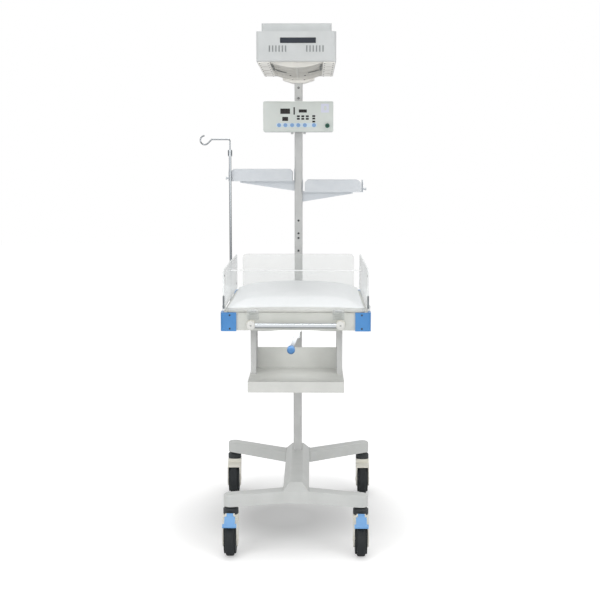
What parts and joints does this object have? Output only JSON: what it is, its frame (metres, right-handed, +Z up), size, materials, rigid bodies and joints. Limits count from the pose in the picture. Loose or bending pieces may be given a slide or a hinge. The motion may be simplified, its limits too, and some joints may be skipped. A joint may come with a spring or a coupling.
{
  "type": "infant radiant warmer",
  "caption": "Wheeled infant warmer: tilting mattress bed with clear folding guards under a swivelling radiant heater head on a mast, with control box, trays, infusion pole and shelf.",
  "frame": {"origin": "on the floor under the middle of the whole object's bounding box", "axes": "+Z up, -Y towards the person at the push handle, +X to that person's right"},
  "size_m": [0.7067, 0.9794, 1.891],
  "materials": {
    "white_paint": "satin powder coat",
    "pale_paint": "satin powder coat",
    "tray_paint": "satin powder coat",
    "anodised": "satin anodised",
    "chrome": "polished",
    "pin_steel": "plain turned",
    "castor_black": "moulded",
    "castor_cream": "moulded",
    "hub_grey": "moulded",
    "tyre_black": "moulded tread",
    "blue_plastic": "moulded",
    "sky_keys": "moulded",
    "board": "laminate",
    "cushion": "padded, soft cover",
    "clear_guard": "clear acrylic",
    "fascia": "printed film, bare",
    "window": "tinted window",
    "socket_green": "moulded",
    "polished": "polished reflector",
    "ceramic": "milky quartz and ceramic",
    "cream_plate": "satin powder coat",
    "guard_wire": "plain sheet"
  },
  "bodies": {
    "base": {"base_beam": "white_paint", "front_legs": "white_paint", "rear_legs": "white_paint", "castor_stems": "castor_black", "lower_column": "pale_paint", "carrier": "pale_paint", "mast": "pale_paint", "shelf_hangers": "pale_paint", "storage_shelf": "white_paint", "tray_left": "tray_paint", "tray_right": "tray_paint", "control_box": "white_paint", "control_fascia": "fascia", "displays": "window", "probe_socket": "socket_green", "pole_socket": "chrome", "pole_tube": "chrome"},
    "bed": {"bed_frame": "anodised", "bed_board": "board", "tilt_pin": "pin_steel", "corner_bumpers": "blue_plastic", "mattress": "cushion", "panel_rear": "clear_guard", "panel_hinges": "pin_steel", "push_handle": "chrome"},
    "guard_front": {"panel_front": "clear_guard"},
    "guard_left": {"panel_left": "clear_guard"},
    "guard_right": {"panel_right": "clear_guard"},
    "lever": {"lock_lever": "pin_steel", "lever_knob": "blue_plastic"},
    "collar": {"pole_collar": "castor_black"},
    "rod": {"pole_rod": "chrome"},
    "head": {"head_housing": "white_paint", "head_top_cover": "white_paint", "head_cheeks": "cream_plate", "reflector": "polished", "heater_tubes": "ceramic", "heater_guard": "guard_wire", "head_yoke": "white_paint"},
    "castor_fl": {"castor_fork_fl": "castor_cream"},
    "wheel_fl": {"wheel_hub_fl": "hub_grey", "tyre_fl": "tyre_black"},
    "castor_fr": {"castor_fork_fr": "castor_cream"},
    "wheel_fr": {"wheel_hub_fr": "hub_grey", "tyre_fr": "tyre_black"},
    "castor_rl": {"castor_fork_rl": "castor_cream"},
    "wheel_rl": {"wheel_hub_rl": "hub_grey", "tyre_rl": "tyre_black"},
    "castor_rr": {"castor_fork_rr": "castor_cream"},
    "wheel_rr": {"wheel_hub_rr": "hub_grey", "tyre_rr": "tyre_black"},
    "pedal_left": {"brake_pedal_left": "blue_plastic"},
    "pedal_right": {"brake_pedal_right": "blue_plastic"},
    "button_1": {"key_1": "sky_keys"},
    "button_2": {"key_2": "sky_keys"},
    "button_3": {"key_3": "sky_keys"},
    "button_4": {"key_4": "sky_keys"},
    "button_5": {"key_5": "sky_keys"},
    "button_6": {"key_6": "sky_keys"}
  },
  "joints": [
    {"name": "swivel_fl", "type": "hinge", "parent": "base", "child": "castor_fl", "pos_m": [-0.18064, -0.39725, 0.15], "axis": [0, 0, 1], "continuous": true},
    {"name": "roll_fl", "type": "hinge", "parent": "castor_fl", "child": "wheel_fl", "pos_m": [-0.18064, -0.42725, 0.0625], "axis": [1, 0, 0], "continuous": true},
    {"name": "swivel_fr", "type": "hinge", "parent": "base", "child": "castor_fr", "pos_m": [0.28536, -0.39725, 0.15], "axis": [0, 0, 1], "continuous": true},
    {"name": "roll_fr", "type": "hinge", "parent": "castor_fr", "child": "wheel_fr", "pos_m": [0.28536, -0.42725, 0.0625], "axis": [1, 0, 0], "continuous": true},
    {"name": "swivel_rl", "type": "hinge", "parent": "base", "child": "castor_rl", "pos_m": [-0.21964, 0.35975, 0.15], "axis": [0, 0, 1], "continuous": true},
    {"name": "roll_rl", "type": "hinge", "parent": "castor_rl", "child": "wheel_rl", "pos_m": [-0.21964, 0.32975, 0.0625], "axis": [1, 0, 0], "continuous": true},
    {"name": "swivel_rr", "type": "hinge", "parent": "base", "child": "castor_rr", "pos_m": [0.32436, 0.35975, 0.15], "axis": [0, 0, 1], "continuous": true},
    {"name": "roll_rr", "type": "hinge", "parent": "castor_rr", "child": "wheel_rr", "pos_m": [0.32436, 0.32975, 0.0625], "axis": [1, 0, 0], "continuous": true},
    {"name": "brake_left", "type": "hinge", "parent": "castor_fl", "child": "pedal_left", "pos_m": [-0.18064, -0.44325, 0.152], "axis": [1, 0, 0], "range_deg": [0, 12]},
    {"name": "brake_right", "type": "hinge", "parent": "castor_fr", "child": "pedal_right", "pos_m": [0.28536, -0.44325, 0.152], "axis": [1, 0, 0], "range_deg": [0, 12]},
    {"name": "bed_tilt", "type": "hinge", "parent": "base", "child": "bed", "pos_m": [0.05236, 0.13975, 0.8], "axis": [1, 0, 0], "range_deg": [-10, 10]},
    {"name": "front_guard_fold", "type": "hinge", "parent": "bed", "child": "guard_front", "pos_m": [0.05236, -0.40725, 0.878], "axis": [1, 0, 0], "range_deg": [0, 140]},
    {"name": "left_guard_fold", "type": "hinge", "parent": "bed", "child": "guard_left", "pos_m": [-0.21164, -0.04525, 0.878], "axis": [0, -1, 0], "range_deg": [0, 180]},
    {"name": "right_guard_fold", "type": "hinge", "parent": "bed", "child": "guard_right", "pos_m": [0.31636, -0.04525, 0.878], "axis": [0, 1, 0], "range_deg": [0, 180]},
    {"name": "lock_turn", "type": "hinge", "parent": "base", "child": "lever", "pos_m": [0.05236, -0.04525, 0.766], "axis": [0, -1, 0], "range_deg": [0, 45]},
    {"name": "collar_turn", "type": "hinge", "parent": "base", "child": "collar", "pos_m": [-0.22864, 0.32875, 1.43], "axis": [0, 0, 1], "continuous": true},
    {"name": "pole_height", "type": "slide", "parent": "collar", "child": "rod", "axis": [0, 0, 1], "range_m": [0, 0.35]},
    {"name": "head_swivel", "type": "hinge", "parent": "base", "child": "head", "pos_m": [0.05236, 0.38675, 1.73], "axis": [0, 0, 1], "range_deg": [-90, 90]},
    {"name": "press_1", "type": "slide", "parent": "base", "child": "button_1", "axis": [0, 1, 0], "range_m": [0, 0.0008], "stiffness_N_per_m": 500},
    {"name": "press_2", "type": "slide", "parent": "base", "child": "button_2", "axis": [0, 1, 0], "range_m": [0, 0.0008], "stiffness_N_per_m": 500},
    {"name": "press_3", "type": "slide", "parent": "base", "child": "button_3", "axis": [0, 1, 0], "range_m": [0, 0.0008], "stiffness_N_per_m": 500},
    {"name": "press_4", "type": "slide", "parent": "base", "child": "button_4", "axis": [0, 1, 0], "range_m": [0, 0.0008], "stiffness_N_per_m": 500},
    {"name": "press_5", "type": "slide", "parent": "base", "child": "button_5", "axis": [0, 1, 0], "range_m": [0, 0.0008], "stiffness_N_per_m": 500},
    {"name": "press_6", "type": "slide", "parent": "base", "child": "button_6", "axis": [0, 1, 0], "range_m": [0, 0.0008], "stiffness_N_per_m": 500}
  ]
}
